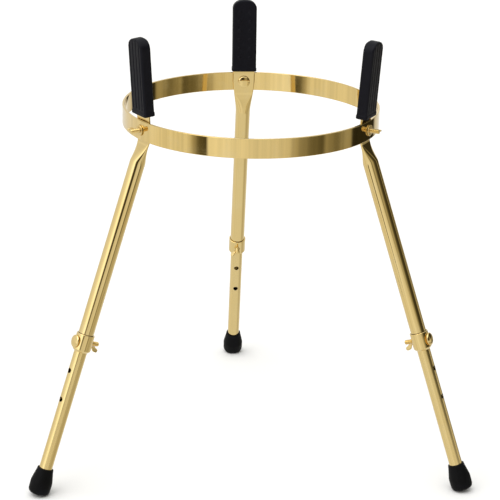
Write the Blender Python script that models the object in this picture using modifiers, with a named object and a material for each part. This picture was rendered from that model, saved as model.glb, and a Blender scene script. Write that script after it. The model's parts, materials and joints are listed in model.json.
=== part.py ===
"""Three-legged conga stand: a flat hoop carried by three legs whose height is set by through-bolts.

Metres, +Z up. The floor is at Z = 0 and the rear leg points along +Y. Every leg is built in its own
upright frame (X radially outward, Y along the hoop, Z up) and then turned about the hoop's axis.
Distances along a leg are measured on its straight centreline, upward from the floor.
"""
import math

import bmesh
import bpy
from mathutils import Matrix, Vector

MM = 0.001

# ---- Driving dimensions ----
CLEARANCE = 0.3 * MM

RING_OUTER_RADIUS = 166.0 * MM
RING_THICKNESS = 3.0 * MM
RING_HEIGHT = 25.0 * MM
RING_TOP = 477.5 * MM
RING_CORNER = 0.5 * MM

LEG_ANGLES = {"rear": 90.0, "left": 210.0, "right": 330.0}
FOOT_RADIUS = 319.0 * MM
UPPER_TUBE_DIAMETER = 20.0 * MM
UPPER_BORE_DIAMETER = 17.6 * MM
LOWER_TUBE_DIAMETER = 17.0 * MM
LOWER_BORE_DIAMETER = 14.6 * MM
STRAP_THICKNESS = 3.0 * MM
STRAP_WIDTH = 29.6 * MM
FLATTENED_BELOW_BEND = 27.0 * MM
SPREAD_ABOVE_BEND = 16.0 * MM
STRAP_TO_RING = 1.0 * MM
STRAP_BEND_BELOW_RING = 3.0 * MM
STRAP_BEND_EASE = 2.0 * MM
GRIP_LEAN = math.radians(4.0)

HEIGHT_BOLT_AT = 209.0 * MM
HOLE_PITCH = 39.2 * MM
HOLES_BELOW_BOLT = 2
HOLES_ABOVE_BOLT = 4
HOLE_DIAMETER = 6.8 * MM
TUBE_END_PAST_HOLE = 5.0 * MM

COLLAR_BOTTOM = 197.0 * MM
COLLAR_TOP = 220.5 * MM
COLLAR_DIAMETER = 23.6 * MM
COLLAR_FLANGE = 3.0 * MM
COLLAR_CHAMFER = 2.2 * MM
COLLAR_RIM_ROUND = 0.6 * MM

GRIP_WIDTH = 32.6 * MM
GRIP_THICKNESS = 14.5 * MM
GRIP_LENGTH = 98.0 * MM
GRIP_ABOVE_RING = {"rear": 2.6 * MM, "left": 7.4 * MM, "right": 4.4 * MM}
GRIP_LIP_HEIGHT = 5.0 * MM
GRIP_LIP_PROUD = 0.5 * MM
GRIP_EDGE_ROUND = 1.6 * MM
GRIP_CROWN = 12.0 * MM
GRIP_POCKET_DEPTH = 78.0 * MM
STRAP_TIP_ABOVE_RING = 78.0 * MM

BOLT_DIAMETER = 6.0 * MM
BOLT_HEAD_DIAMETER = 16.5 * MM
BOLT_HEAD_HEIGHT = 3.4 * MM
BOLT_HEAD_RIM = 0.8 * MM
BOLT_NECK_WIDTH = 6.0 * MM
BOLT_END_CHAMFER = 0.8 * MM
RING_BOLT_PAST_NUT = 4.2 * MM
HEIGHT_BOLT_PAST_NUT = 2.6 * MM
WASHER_DIAMETER = 14.0 * MM
WASHER_THICKNESS = 1.6 * MM
WASHER_EDGE = 0.3 * MM
NUT_BASE_DIAMETER = 10.0 * MM
NUT_TOP_DIAMETER = 8.4 * MM
NUT_HUB_HEIGHT = 7.6 * MM
NUT_FOOT_HEIGHT = 1.5 * MM
NUT_TOP_CHAMFER = 0.5 * MM
WING_SPAN = 23.0 * MM
WING_RISE = 11.4 * MM
WING_THICKNESS = 2.2 * MM
WING_END_RADIUS = 3.0 * MM
RING_NUT_TURNS = {"rear": 90.0, "left": 90.0, "right": 90.0}
HEIGHT_NUT_TURNS = {"rear": 110.0, "left": 0.0, "right": 0.0}

FOOT_SINK = 0.7 * MM
FOOT_LENGTH = 35.0 * MM
FOOT_TOP_DIAMETER = 20.8 * MM
FOOT_MAX_DIAMETER = 29.0 * MM
FOOT_WIDEST_AT = 11.5 * MM
FOOT_EDGE_ROUND = 7.0 * MM
FOOT_FLOOR = 5.0 * MM
FOOT_RIM_CHAMFER = 0.8 * MM
FOOT_SIDE_TAPER = 0.6 * MM

# How far a cutter runs past what it cuts.
CUT_PAST = 5.0 * MM

# ---- Facets per turn ----
RING_FACETS = 96
TUBE_FACETS = 24
BOLT_FACETS = 16
HOLE_FACETS = 12

# ---- Sections of the pressed tube ----
# A round section is made this much thinner than wide, so it has as many corners as a flat one.
NOT_QUITE_ROUND = 0.9999
FLATTENING_STEPS = 8

# ---- Derived dimensions ----
RING_INNER_RADIUS = RING_OUTER_RADIUS - RING_THICKNESS
RING_BOTTOM = RING_TOP - RING_HEIGHT
RING_BOLT_Z = RING_TOP - RING_HEIGHT / 2
STRAP_RADIUS = RING_INNER_RADIUS - STRAP_TO_RING - STRAP_THICKNESS / 2
STRAP_BEND_Z = RING_BOTTOM - STRAP_BEND_BELOW_RING
LEG_TILT = math.atan2(FOOT_RADIUS - STRAP_RADIUS, STRAP_BEND_Z)
STRAP_BEND_AT = STRAP_BEND_Z / math.cos(LEG_TILT)
LOWER_TUBE_TOP = HEIGHT_BOLT_AT + HOLES_ABOVE_BOLT * HOLE_PITCH + TUBE_END_PAST_HOLE
FLATTENING_FROM = STRAP_BEND_AT - FLATTENED_BELOW_BEND
BORE_TOP = FLATTENING_FROM
UPPER_TUBE_BOTTOM = COLLAR_BOTTOM + COLLAR_FLANGE + CLEARANCE
NUT_BORE_DIAMETER = BOLT_DIAMETER + 2 * CLEARANCE

# The boot's lowest edge, which is its inner one, is pressed flat on the floor by FOOT_SINK.
FOOT_BASE_RADIUS = FOOT_MAX_DIAMETER / 2 - FOOT_SIDE_TAPER
FOOT_EDGE_CENTRE = FOOT_BASE_RADIUS - FOOT_EDGE_ROUND
FOOT_BASE_AT = (
    FOOT_EDGE_CENTRE * math.sin(LEG_TILT) + FOOT_EDGE_ROUND - FOOT_SINK
) / math.cos(LEG_TILT) - FOOT_EDGE_ROUND

# The hoop's axis sits in front of the origin, so that the origin is the middle of the footprint.
FOOT_MIDDLE_RADIUS = FOOT_RADIUS - FOOT_WIDEST_AT * math.sin(LEG_TILT)
REAR_REACH = FOOT_MIDDLE_RADIUS + FOOT_BASE_RADIUS * math.cos(LEG_TILT)
FRONT_REACH = FOOT_MIDDLE_RADIUS / 2 + FOOT_BASE_RADIUS
RING_AXIS_Y = (FRONT_REACH - REAR_REACH) / 2

PARTS = "conga_stand"
CUTTERS = "cutters"


# ---- Scene, collections and materials ----
def clear_scene():
    for obj in list(bpy.data.objects):
        bpy.data.objects.remove(obj, do_unlink=True)


def make_collection(name):
    collection = bpy.data.collections.new(name)
    bpy.context.scene.collection.children.link(collection)
    return collection


def make_material(name, colour, roughness, metallic):
    material = bpy.data.materials.new(name)
    material.use_nodes = True
    shader = material.node_tree.nodes["Principled BSDF"]
    shader.inputs["Base Color"].default_value = (*colour, 1.0)
    shader.inputs["Roughness"].default_value = roughness
    shader.inputs["Metallic"].default_value = metallic
    return material


def gold_plate(name):
    return make_material(name + "_gold_plate", (0.83, 0.64, 0.30), 0.16, 1.0)


def black_rubber(name):
    return make_material(name + "_black_rubber", (0.018, 0.018, 0.021), 0.55, 0.0)


# ---- Making and placing objects ----
def make_empty(name, parent, location, rotation):
    empty = bpy.data.objects.new(name, None)
    collections[PARTS].objects.link(empty)
    empty.empty_display_size = 20 * MM
    empty.parent = parent
    empty.location = location
    empty.rotation_euler = rotation
    return empty


def make_object(name, mesh, parent, collection=PARTS):
    obj = bpy.data.objects.new(name, mesh)
    collections[collection].objects.link(obj)
    obj.parent = parent
    if collection == CUTTERS:
        obj.hide_render = True
        obj.display_type = "WIRE"
    return obj


def finish_part(obj, material):
    obj.data.materials.append(material)
    obj.data.shade_smooth()
    obj.data.set_sharp_from_angle(angle=math.radians(35))
    return obj


def mesh_from_bmesh(name, bm):
    mesh = bpy.data.meshes.new(name)
    bm.to_mesh(mesh)
    bm.free()
    return mesh


def turned_object(name, profile, facets, parent, collection=PARTS, closed=False):
    """A turned piece: the profile's (radius, height) points run down its outer side."""
    bm = bmesh.new()
    verts = [bm.verts.new((radius, 0.0, height)) for radius, height in profile]
    for first, second in zip(verts, verts[1:]):
        bm.edges.new((first, second))
    if closed:
        bm.edges.new((verts[-1], verts[0]))
    obj = make_object(name, mesh_from_bmesh(name, bm), parent, collection)
    screw = obj.modifiers.new("turn", "SCREW")
    screw.axis = "Z"
    screw.angle = math.tau
    screw.steps = facets
    screw.render_steps = facets
    screw.use_merge_vertices = True
    screw.merge_threshold = 0.00001
    return obj


def cylinder_cutter(name, diameter, bottom, top, facets, parent):
    bm = bmesh.new()
    bmesh.ops.create_cone(
        bm,
        cap_ends=True,
        segments=facets,
        radius1=diameter / 2,
        radius2=diameter / 2,
        depth=top - bottom,
        matrix=Matrix.Translation((0, 0, (bottom + top) / 2)),
    )
    return make_object(name, mesh_from_bmesh(name, bm), parent, CUTTERS)


def cross_hole_cutter(name, distances, parent):
    """Radial drillings through a leg, one at each distance along it."""
    bm = bmesh.new()
    for distance in distances:
        bmesh.ops.create_cone(
            bm,
            cap_ends=True,
            segments=HOLE_FACETS,
            radius1=HOLE_DIAMETER / 2,
            radius2=HOLE_DIAMETER / 2,
            depth=COLLAR_DIAMETER * 2,
            matrix=Matrix.Translation((0, 0, distance)) @ Matrix.Rotation(math.pi / 2, 4, "Y"),
        )
    return make_object(name, mesh_from_bmesh(name, bm), parent, CUTTERS)


def box_mesh(name, low, high):
    bm = bmesh.new()
    size = Vector(high) - Vector(low)
    middle = (Vector(high) + Vector(low)) / 2
    bmesh.ops.create_cube(bm, size=1.0, matrix=Matrix.Translation(middle) @ Matrix.Diagonal((*size, 1.0)))
    return mesh_from_bmesh(name, bm)


def box_cutter(name, low, high, parent):
    return make_object(name, box_mesh(name, low, high), parent, CUTTERS)


def combine(obj, other, operation):
    boolean = obj.modifiers.new(operation.lower(), "BOOLEAN")
    boolean.operation = operation
    boolean.solver = "EXACT"
    boolean.object = other


def arc(centre_x, centre_y, radius, start, end, steps):
    """Points on an arc, angles in degrees."""
    points = []
    for step in range(steps + 1):
        angle = math.radians(start + (end - start) * step / steps)
        points.append((centre_x + radius * math.cos(angle), centre_y + radius * math.sin(angle)))
    return points


def plate_mesh(name, outline, thickness):
    """A flat plate in the XY plane from a closed outline, as one welded mesh."""
    curve = bpy.data.curves.new(name, "CURVE")
    curve.dimensions = "2D"
    curve.fill_mode = "BOTH"
    curve.extrude = thickness / 2
    spline = curve.splines.new("POLY")
    spline.points.add(len(outline) - 1)
    for point, (x, y) in zip(spline.points, outline):
        point.co = (x, y, 0.0, 1.0)
    spline.use_cyclic_u = True
    holder = bpy.data.objects.new(name, curve)
    collections[CUTTERS].objects.link(holder)
    bpy.context.view_layer.update()
    evaluated = holder.evaluated_get(bpy.context.evaluated_depsgraph_get())
    mesh = bpy.data.meshes.new_from_object(evaluated)
    mesh.name = name
    bpy.data.objects.remove(holder, do_unlink=True)
    bm = bmesh.new()
    bm.from_mesh(mesh)
    bmesh.ops.remove_doubles(bm, verts=bm.verts, dist=0.00001)
    bmesh.ops.recalc_face_normals(bm, faces=bm.faces)
    bm.to_mesh(mesh)
    bm.free()
    return mesh


# ---- Hoop ----
def build_ring(parent):
    corner = RING_CORNER
    profile = [
        (RING_INNER_RADIUS, RING_TOP - corner),
        (RING_INNER_RADIUS + corner, RING_TOP),
        (RING_OUTER_RADIUS - corner, RING_TOP),
        (RING_OUTER_RADIUS, RING_TOP - corner),
        (RING_OUTER_RADIUS, RING_BOTTOM + corner),
        (RING_OUTER_RADIUS - corner, RING_BOTTOM),
        (RING_INNER_RADIUS + corner, RING_BOTTOM),
        (RING_INNER_RADIUS, RING_BOTTOM + corner),
    ]
    ring = turned_object("ring_hoop", profile, RING_FACETS, parent, closed=True)
    for side, angle in LEG_ANGLES.items():
        hole = cylinder_cutter(
            side + "_ring_hole",
            HOLE_DIAMETER,
            RING_INNER_RADIUS - CUT_PAST,
            RING_OUTER_RADIUS + CUT_PAST,
            HOLE_FACETS,
            parent,
        )
        hole.location = (0, 0, RING_BOLT_Z)
        hole.rotation_euler = (0, math.pi / 2, math.radians(angle))
        combine(ring, hole, "DIFFERENCE")
    return finish_part(ring, gold_plate("ring"))


# ---- Upper leg: a round tube flattened into a strap ----
def leg_point(distance):
    """The straight centreline, as (radius, height) in the leg's upright frame."""
    return (
        FOOT_RADIUS - distance * math.sin(LEG_TILT),
        distance * math.cos(LEG_TILT),
    )


def flattened_section(width, thickness):
    """A stadium outline as (across, through) points, which is a circle where width = thickness."""
    half_turn = TUBE_FACETS // 2
    offset = (width - thickness) / 2
    points = arc(offset, 0.0, thickness / 2, -90, 90, half_turn)
    points += arc(-offset, 0.0, thickness / 2, 90, 270, half_turn)
    return points


def strap_size(along):
    """Width and thickness of the tube, this far up its length, as it is pressed thin and spreads."""
    pressed = max(along - FLATTENING_FROM, 0.0)
    spread = min(pressed / (FLATTENED_BELOW_BEND + SPREAD_ABOVE_BEND), 1.0)
    thinned = min(pressed / (FLATTENED_BELOW_BEND - STRAP_BEND_EASE), 1.0)
    width = UPPER_TUBE_DIAMETER + (STRAP_WIDTH - UPPER_TUBE_DIAMETER) * spread
    thickness = UPPER_TUBE_DIAMETER - (UPPER_TUBE_DIAMETER - STRAP_THICKNESS) * thinned
    return width, min(thickness, width * NOT_QUITE_ROUND)


def upper_leg_stations():
    """(radius, height, tilt from upright, width, thickness) from the collar to the strap's tip."""
    straight_end = STRAP_BEND_AT - STRAP_BEND_EASE
    distances = [UPPER_TUBE_BOTTOM]
    step = (straight_end - FLATTENING_FROM) / FLATTENING_STEPS
    distances += [FLATTENING_FROM + step * index for index in range(FLATTENING_STEPS + 1)]
    stations = []
    for distance in distances:
        stations.append((*leg_point(distance), -LEG_TILT, *strap_size(distance)))
    for rise in (STRAP_BEND_EASE, SPREAD_ABOVE_BEND):
        height = STRAP_BEND_Z + rise
        stations.append((STRAP_RADIUS, height, 0.0, *strap_size(STRAP_BEND_AT + rise)))
    flat_size = (STRAP_WIDTH, STRAP_THICKNESS)
    stations.append((STRAP_RADIUS, RING_TOP, GRIP_LEAN / 2, *flat_size))
    for along in (STRAP_THICKNESS / 2, STRAP_TIP_ABOVE_RING):
        radius = STRAP_RADIUS + along * math.sin(GRIP_LEAN)
        height = RING_TOP + along * math.cos(GRIP_LEAN)
        stations.append((radius, height, GRIP_LEAN, *flat_size))
    return stations


def build_upper_leg(side, pivot, axis):
    """Cross-sections of unlike shape are lofted, then the bore and the bolt holes are cut."""
    bm = bmesh.new()
    loops = []
    for radius, height, tilt, width, thickness in upper_leg_stations():
        loop = []
        for across, through in flattened_section(width, thickness):
            x = radius + through * math.cos(tilt) - STRAP_RADIUS
            z = height - through * math.sin(tilt) - RING_BOLT_Z
            loop.append(bm.verts.new((x, across, z)))
        loops.append(loop)
    for lower, upper in zip(loops, loops[1:]):
        bmesh.ops.bridge_loops(bm, edges=ring_edges(bm, lower) + ring_edges(bm, upper))
    bm.faces.new(loops[0])
    bm.faces.new(loops[-1])
    bmesh.ops.remove_doubles(bm, verts=bm.verts, dist=0.00001)
    bmesh.ops.recalc_face_normals(bm, faces=bm.faces)
    leg = make_object(side + "_upper_leg", mesh_from_bmesh(side + "_upper_leg", bm), pivot)
    bore_start = UPPER_TUBE_BOTTOM - CUT_PAST
    bore_name = side + "_upper_bore"
    bore = cylinder_cutter(bore_name, UPPER_BORE_DIAMETER, bore_start, BORE_TOP, TUBE_FACETS, axis)
    combine(leg, bore, "DIFFERENCE")
    combine(leg, cross_hole_cutter(side + "_upper_cross_hole", [HEIGHT_BOLT_AT], axis), "DIFFERENCE")
    half = BOLT_NECK_WIDTH / 2 + CLEARANCE
    low = (-CUT_PAST, -half, -half)
    high = (CUT_PAST, half, half)
    square_hole = box_cutter(side + "_strap_hole", low, high, pivot)
    combine(leg, square_hole, "DIFFERENCE")
    return finish_part(leg, gold_plate(side + "_upper_leg"))


def ring_edges(bm, loop):
    edges = []
    for first, second in zip(loop, loop[1:] + loop[:1]):
        edge = bm.edges.get((first, second)) or bm.edges.new((first, second))
        edges.append(edge)
    return edges


# ---- Collar, lower tube and boot, all turned about the leg's centreline ----
def build_collar(side, axis):
    radius = COLLAR_DIAMETER / 2
    sleeve_bore = UPPER_TUBE_DIAMETER / 2 + CLEARANCE
    flange_bore = LOWER_TUBE_DIAMETER / 2 + CLEARANCE
    profile = [
        (sleeve_bore, COLLAR_TOP),
        (radius - COLLAR_RIM_ROUND, COLLAR_TOP),
        (radius, COLLAR_TOP - COLLAR_RIM_ROUND),
        (radius, COLLAR_BOTTOM + COLLAR_CHAMFER),
        (radius - COLLAR_CHAMFER * 0.4, COLLAR_BOTTOM + COLLAR_CHAMFER * 0.4),
        (radius - COLLAR_CHAMFER, COLLAR_BOTTOM),
        (flange_bore, COLLAR_BOTTOM),
        (flange_bore, COLLAR_BOTTOM + COLLAR_FLANGE),
        (sleeve_bore, COLLAR_BOTTOM + COLLAR_FLANGE),
    ]
    collar = turned_object(side + "_collar", profile, TUBE_FACETS, axis, closed=True)
    combine(collar, cross_hole_cutter(side + "_collar_cross_hole", [HEIGHT_BOLT_AT], axis), "DIFFERENCE")
    return finish_part(collar, gold_plate(side + "_collar"))


def build_lower_tube(side, axis):
    outer = LOWER_TUBE_DIAMETER / 2
    inner = LOWER_BORE_DIAMETER / 2
    bottom = FOOT_BASE_AT + FOOT_FLOOR + CLEARANCE
    profile = [(inner, LOWER_TUBE_TOP), (outer, LOWER_TUBE_TOP), (outer, bottom), (inner, bottom)]
    tube = turned_object(side + "_lower_tube", profile, TUBE_FACETS, axis, closed=True)
    numbers = range(-HOLES_BELOW_BOLT, HOLES_ABOVE_BOLT + 1)
    distances = [HEIGHT_BOLT_AT + number * HOLE_PITCH for number in numbers]
    combine(tube, cross_hole_cutter(side + "_height_holes", distances, axis), "DIFFERENCE")
    return finish_part(tube, gold_plate(side + "_lower_tube"))


def build_foot(side, pivot, axis):
    bottom = FOOT_BASE_AT
    top = bottom + FOOT_LENGTH
    cup = LOWER_TUBE_DIAMETER / 2 + CLEARANCE
    rim = FOOT_TOP_DIAMETER / 2
    widest = FOOT_MAX_DIAMETER / 2
    profile = [
        (0.0, bottom + FOOT_FLOOR),
        (cup, bottom + FOOT_FLOOR),
        (cup, top),
        (rim - FOOT_RIM_CHAMFER, top),
        (rim, top - FOOT_RIM_CHAMFER),
        (widest - FOOT_SIDE_TAPER, bottom + FOOT_WIDEST_AT * 1.5),
        (widest, bottom + FOOT_WIDEST_AT),
    ]
    profile += arc(FOOT_EDGE_CENTRE, bottom + FOOT_EDGE_ROUND, FOOT_EDGE_ROUND, 0, -90, 5)
    profile.append((0.0, bottom))
    foot = turned_object(side + "_foot", profile, TUBE_FACETS, axis)
    reach = 2 * FOOT_MAX_DIAMETER
    floor = box_cutter(side + "_floor", (-reach, -reach, -reach), (reach, reach, 0.0), pivot)
    floor.location = (FOOT_RADIUS - STRAP_RADIUS, 0, -RING_BOLT_Z)
    combine(foot, floor, "DIFFERENCE")
    return finish_part(foot, black_rubber(side + "_foot"))


# ---- Rubber grip over the strap ----
def capsule_outline(width, height, crown):
    """Flat bottom, straight sides and a round top, which is half an ellipse."""
    points = [(-width / 2, 0.0), (width / 2, 0.0)]
    for across, up in arc(0.0, 0.0, 1.0, 0, 180, 12):
        points.append((across * width / 2, height - crown + up * crown))
    return points


def build_grip(side, pivot):
    outline = capsule_outline(GRIP_WIDTH, GRIP_LENGTH, GRIP_CROWN)
    grip = make_object(side + "_grip", plate_mesh(side + "_grip", outline, GRIP_THICKNESS), pivot)
    upright = Matrix.Rotation(math.pi / 2, 4, "Z") @ Matrix.Rotation(math.pi / 2, 4, "X")
    lean = Matrix.Rotation(GRIP_LEAN, 4, "Y")
    above = GRIP_ABOVE_RING[side]
    place = (above * math.tan(GRIP_LEAN), 0, RING_TOP + above - RING_BOLT_Z)
    seat = Matrix.Translation(place) @ lean @ upright
    grip.matrix_local = seat
    edges = grip.modifiers.new("edge_round", "BEVEL")
    edges.width = GRIP_EDGE_ROUND
    edges.segments = 2
    edges.limit_method = "ANGLE"
    edges.angle_limit = math.radians(40)

    proud = GRIP_LIP_PROUD
    lip_half = GRIP_WIDTH / 2 + proud
    lip_thick = GRIP_THICKNESS / 2 + proud
    lip_low = (-lip_half, 0.0, -lip_thick)
    lip_high = (lip_half, GRIP_LIP_HEIGHT, lip_thick)
    lip = box_cutter(side + "_grip_lip", lip_low, lip_high, pivot)
    lip.matrix_local = seat
    combine(grip, lip, "UNION")

    pocket_width = STRAP_WIDTH / 2 + CLEARANCE
    pocket_thick = STRAP_THICKNESS / 2 + CLEARANCE
    pocket_low = (-pocket_width, -CUT_PAST, -pocket_thick)
    pocket_high = (pocket_width, GRIP_POCKET_DEPTH, pocket_thick)
    pocket = box_cutter(side + "_grip_pocket", pocket_low, pocket_high, pivot)
    pocket.matrix_local = seat
    combine(grip, pocket, "DIFFERENCE")
    return finish_part(grip, black_rubber(side + "_grip"))


# ---- Fasteners, each turned about its own Z axis ----
def build_carriage_bolt(name, length, neck_length, parent, matrix):
    """The head's underside is at Z = 0, the head rises along +Z and the shank runs down."""
    head = BOLT_HEAD_DIAMETER / 2
    dome = BOLT_HEAD_HEIGHT - BOLT_HEAD_RIM
    shank = BOLT_DIAMETER / 2
    profile = []
    for across, up in arc(0.0, 0.0, 1.0, 90, 0, 5):
        profile.append((across * head, BOLT_HEAD_RIM + up * dome))
    profile[0] = (0.0, BOLT_HEAD_HEIGHT)
    profile += [(head, 0.0), (shank, 0.0), (shank, BOLT_END_CHAMFER - length)]
    profile += [(shank - BOLT_END_CHAMFER, -length), (0.0, -length)]
    bolt = turned_object(name, profile, BOLT_FACETS, parent)
    bolt.matrix_local = matrix
    half = BOLT_NECK_WIDTH / 2
    neck = box_cutter(name + "_neck", (-half, -half, -neck_length), (half, half, BOLT_HEAD_RIM / 2), parent)
    neck.matrix_local = matrix
    combine(bolt, neck, "UNION")
    return finish_part(bolt, gold_plate(name))


def build_washer(name, parent, matrix):
    outer = WASHER_DIAMETER / 2
    inner = BOLT_DIAMETER / 2 + CLEARANCE
    top = WASHER_THICKNESS
    profile = [
        (inner, top),
        (outer - WASHER_EDGE, top),
        (outer, top - WASHER_EDGE),
        (outer, 0.0),
        (inner, 0.0),
    ]
    washer = turned_object(name, profile, BOLT_FACETS, parent, closed=True)
    washer.matrix_local = matrix
    return finish_part(washer, gold_plate(name))


def wing_outline():
    """Both wings in one outline, (across, up): a root low on the hub and round raised ends."""
    end_x = WING_SPAN / 2 - WING_END_RADIUS
    end_y = WING_RISE - WING_END_RADIUS
    root = NUT_BASE_DIAMETER / 2 - WING_THICKNESS / 2
    right = [(root, NUT_FOOT_HEIGHT)]
    right += arc(end_x, end_y, WING_END_RADIUS, -48, 130, 8)
    right += [(root - NUT_TOP_CHAMFER, NUT_HUB_HEIGHT - WING_THICKNESS / 2)]
    left = [(-x, y) for x, y in reversed(right)]
    return right + left


def build_wing_nut(name, parent, matrix, turn):
    """The base is at Z = 0 and the wings rise along +Z; turn is the wings' angle about Z."""
    base = NUT_BASE_DIAMETER / 2
    top = NUT_TOP_DIAMETER / 2
    profile = [
        (0.0, NUT_HUB_HEIGHT),
        (top - NUT_TOP_CHAMFER, NUT_HUB_HEIGHT),
        (top, NUT_HUB_HEIGHT - NUT_TOP_CHAMFER),
        (base, NUT_FOOT_HEIGHT),
        (base, 0.0),
        (0.0, 0.0),
    ]
    nut = turned_object(name, profile, BOLT_FACETS, parent)
    turned = matrix @ Matrix.Rotation(math.radians(turn), 4, "Z")
    nut.matrix_local = turned
    wing_mesh = plate_mesh(name + "_wings", wing_outline(), WING_THICKNESS)
    wings = make_object(name + "_wings", wing_mesh, parent, CUTTERS)
    wings.matrix_local = turned @ Matrix.Rotation(math.pi / 2, 4, "X")
    combine(nut, wings, "UNION")
    bore_end = WING_RISE + CUT_PAST
    bore = cylinder_cutter(name + "_bore", NUT_BORE_DIAMETER, -CUT_PAST, bore_end, BOLT_FACETS, parent)
    bore.matrix_local = turned
    combine(nut, bore, "DIFFERENCE")
    return finish_part(nut, gold_plate(name))


def build_ring_fasteners(side, pivot):
    """A carriage bolt from inside the hoop, with a washer and a wing nut on its outside."""
    outward = Matrix.Rotation(math.pi / 2, 4, "Y")
    inward = Matrix.Rotation(-math.pi / 2, 4, "Y")
    head_seat = -STRAP_THICKNESS / 2 - CLEARANCE
    washer_seat = RING_OUTER_RADIUS - STRAP_RADIUS + CLEARANCE
    nut_seat = washer_seat + WASHER_THICKNESS + CLEARANCE
    bolt_end = nut_seat + NUT_HUB_HEIGHT + RING_BOLT_PAST_NUT
    neck = STRAP_THICKNESS + CLEARANCE
    seat = Matrix.Translation((head_seat, 0, 0)) @ inward
    build_carriage_bolt(side + "_ring_bolt", bolt_end - head_seat, neck, pivot, seat)
    build_washer(side + "_ring_washer", pivot, Matrix.Translation((washer_seat, 0, 0)) @ outward)
    seat = Matrix.Translation((nut_seat, 0, 0)) @ outward
    build_wing_nut(side + "_ring_wing_nut", pivot, seat, RING_NUT_TURNS[side])


def build_height_fasteners(side, axis):
    """A carriage bolt from outside through collar and tubes, with a wing nut on the inner side."""
    outward = Matrix.Translation((0, 0, HEIGHT_BOLT_AT)) @ Matrix.Rotation(math.pi / 2, 4, "Y")
    inward = Matrix.Translation((0, 0, HEIGHT_BOLT_AT)) @ Matrix.Rotation(-math.pi / 2, 4, "Y")
    seat = COLLAR_DIAMETER / 2 + CLEARANCE
    length = 2 * seat + NUT_HUB_HEIGHT + HEIGHT_BOLT_PAST_NUT
    bolt_place = outward @ Matrix.Translation((0, 0, seat))
    build_carriage_bolt(side + "_height_bolt", length, CLEARANCE, axis, bolt_place)
    nut_place = inward @ Matrix.Translation((0, 0, seat))
    build_wing_nut(side + "_height_wing_nut", axis, nut_place, HEIGHT_NUT_TURNS[side])


# ---- Assembly ----
def build_leg(side, angle, stand):
    """One leg: a pivot empty on the hoop's bolt axis carries an empty on the leg's centreline."""
    turn = math.radians(angle)
    bolt_on_ring = (STRAP_RADIUS * math.cos(turn), STRAP_RADIUS * math.sin(turn), RING_BOLT_Z)
    pivot = make_empty(side + "_leg_pivot", stand, bolt_on_ring, (0, 0, turn))
    axis_base = (FOOT_RADIUS - STRAP_RADIUS, 0, -RING_BOLT_Z)
    axis = make_empty(side + "_leg_axis", pivot, axis_base, (0, -LEG_TILT, 0))
    build_upper_leg(side, pivot, axis)
    build_grip(side, pivot)
    build_ring_fasteners(side, pivot)
    build_collar(side, axis)
    build_height_fasteners(side, axis)
    build_lower_tube(side, axis)
    build_foot(side, pivot, axis)


def build_stand():
    stand = make_empty("conga_stand_axis", None, (0, RING_AXIS_Y, 0), (0, 0, 0))
    build_ring(stand)
    for side, angle in LEG_ANGLES.items():
        build_leg(side, angle, stand)


clear_scene()
collections = {name: make_collection(name) for name in (PARTS, CUTTERS)}
build_stand()
bpy.context.view_layer.update()
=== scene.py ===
"""Looks of a gold-plated conga stand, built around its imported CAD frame.

Every visible piece is a finer mesh that stands for one CAD node. Its place and main sizes are read
from the frame; the rest are the named values below. Metres, +Z up. Each leg is built in its own
frames: X points radially outward, Y along the hoop, and Z up the leg or straight up.
"""

import json
import math

import bmesh
import bpy
from mathutils import Matrix, Vector


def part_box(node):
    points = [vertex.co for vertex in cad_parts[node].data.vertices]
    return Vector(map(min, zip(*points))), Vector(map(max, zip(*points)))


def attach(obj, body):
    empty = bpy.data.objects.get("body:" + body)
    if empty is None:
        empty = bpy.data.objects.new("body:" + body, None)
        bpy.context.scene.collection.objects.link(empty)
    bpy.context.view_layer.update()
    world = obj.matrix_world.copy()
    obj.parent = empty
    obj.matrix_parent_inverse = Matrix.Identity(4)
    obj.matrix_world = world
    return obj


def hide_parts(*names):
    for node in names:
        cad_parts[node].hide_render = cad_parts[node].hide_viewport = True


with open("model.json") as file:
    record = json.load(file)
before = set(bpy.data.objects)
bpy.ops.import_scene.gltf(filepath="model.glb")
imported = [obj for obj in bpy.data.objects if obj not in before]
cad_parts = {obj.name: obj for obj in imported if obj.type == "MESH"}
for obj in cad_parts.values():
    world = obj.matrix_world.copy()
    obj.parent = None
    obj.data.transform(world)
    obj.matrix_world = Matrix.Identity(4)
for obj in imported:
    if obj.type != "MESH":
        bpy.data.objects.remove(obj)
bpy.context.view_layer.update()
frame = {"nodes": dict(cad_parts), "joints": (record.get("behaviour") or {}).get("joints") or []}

MM = 0.001
SIDES = ("rear", "left", "right")

# ---- Sizes that the frame's boxes don't give ----
HOOP_THICKNESS = 3.0 * MM
HOOP_EDGE_ROUND = 0.7 * MM
TUBE_DIAMETER = 20.0 * MM
TUBE_BORE = 17.6 * MM
STRAP_THICKNESS = 3.0 * MM
STRAP_WIDTH = 29.6 * MM
STRAP_BEND_RADIUS = 16.0 * MM
STRAP_LEAN_RADIUS = 30.0 * MM
STRAP_TIP_ABOVE_HOOP = 77.0 * MM
FLATTENED_BELOW_BEND = 27.0 * MM
THINNED_BELOW_BEND = 3.0 * MM
SPREAD_ABOVE_BEND = 16.0 * MM
GRIP_LEAN = math.radians(4.0)
GRIP_WIDTH = 32.6 * MM
GRIP_THICKNESS = 14.5 * MM
GRIP_LENGTH = 98.0 * MM
GRIP_ABOVE_HOOP = {"rear": 2.6 * MM, "left": 7.4 * MM, "right": 4.4 * MM}
GRIP_CROWN = 12.0 * MM
GRIP_CORNER = 2.6 * MM
GRIP_LIP_HEIGHT = 5.0 * MM
GRIP_LIP_PROUD = 0.5 * MM
GRIP_FOOT_ROUND = 0.7 * MM
GRIP_CROWN_EDGE = 3.4 * MM
GRIP_POCKET_DEPTH = 78.0 * MM
GRIP_POCKET_CORNER = 1.5 * MM
GROOVE_SPACING = 7.2 * MM
GROOVE_DEPTH = 0.85 * MM
GROOVE_FROM = 7.0 * MM
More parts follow.
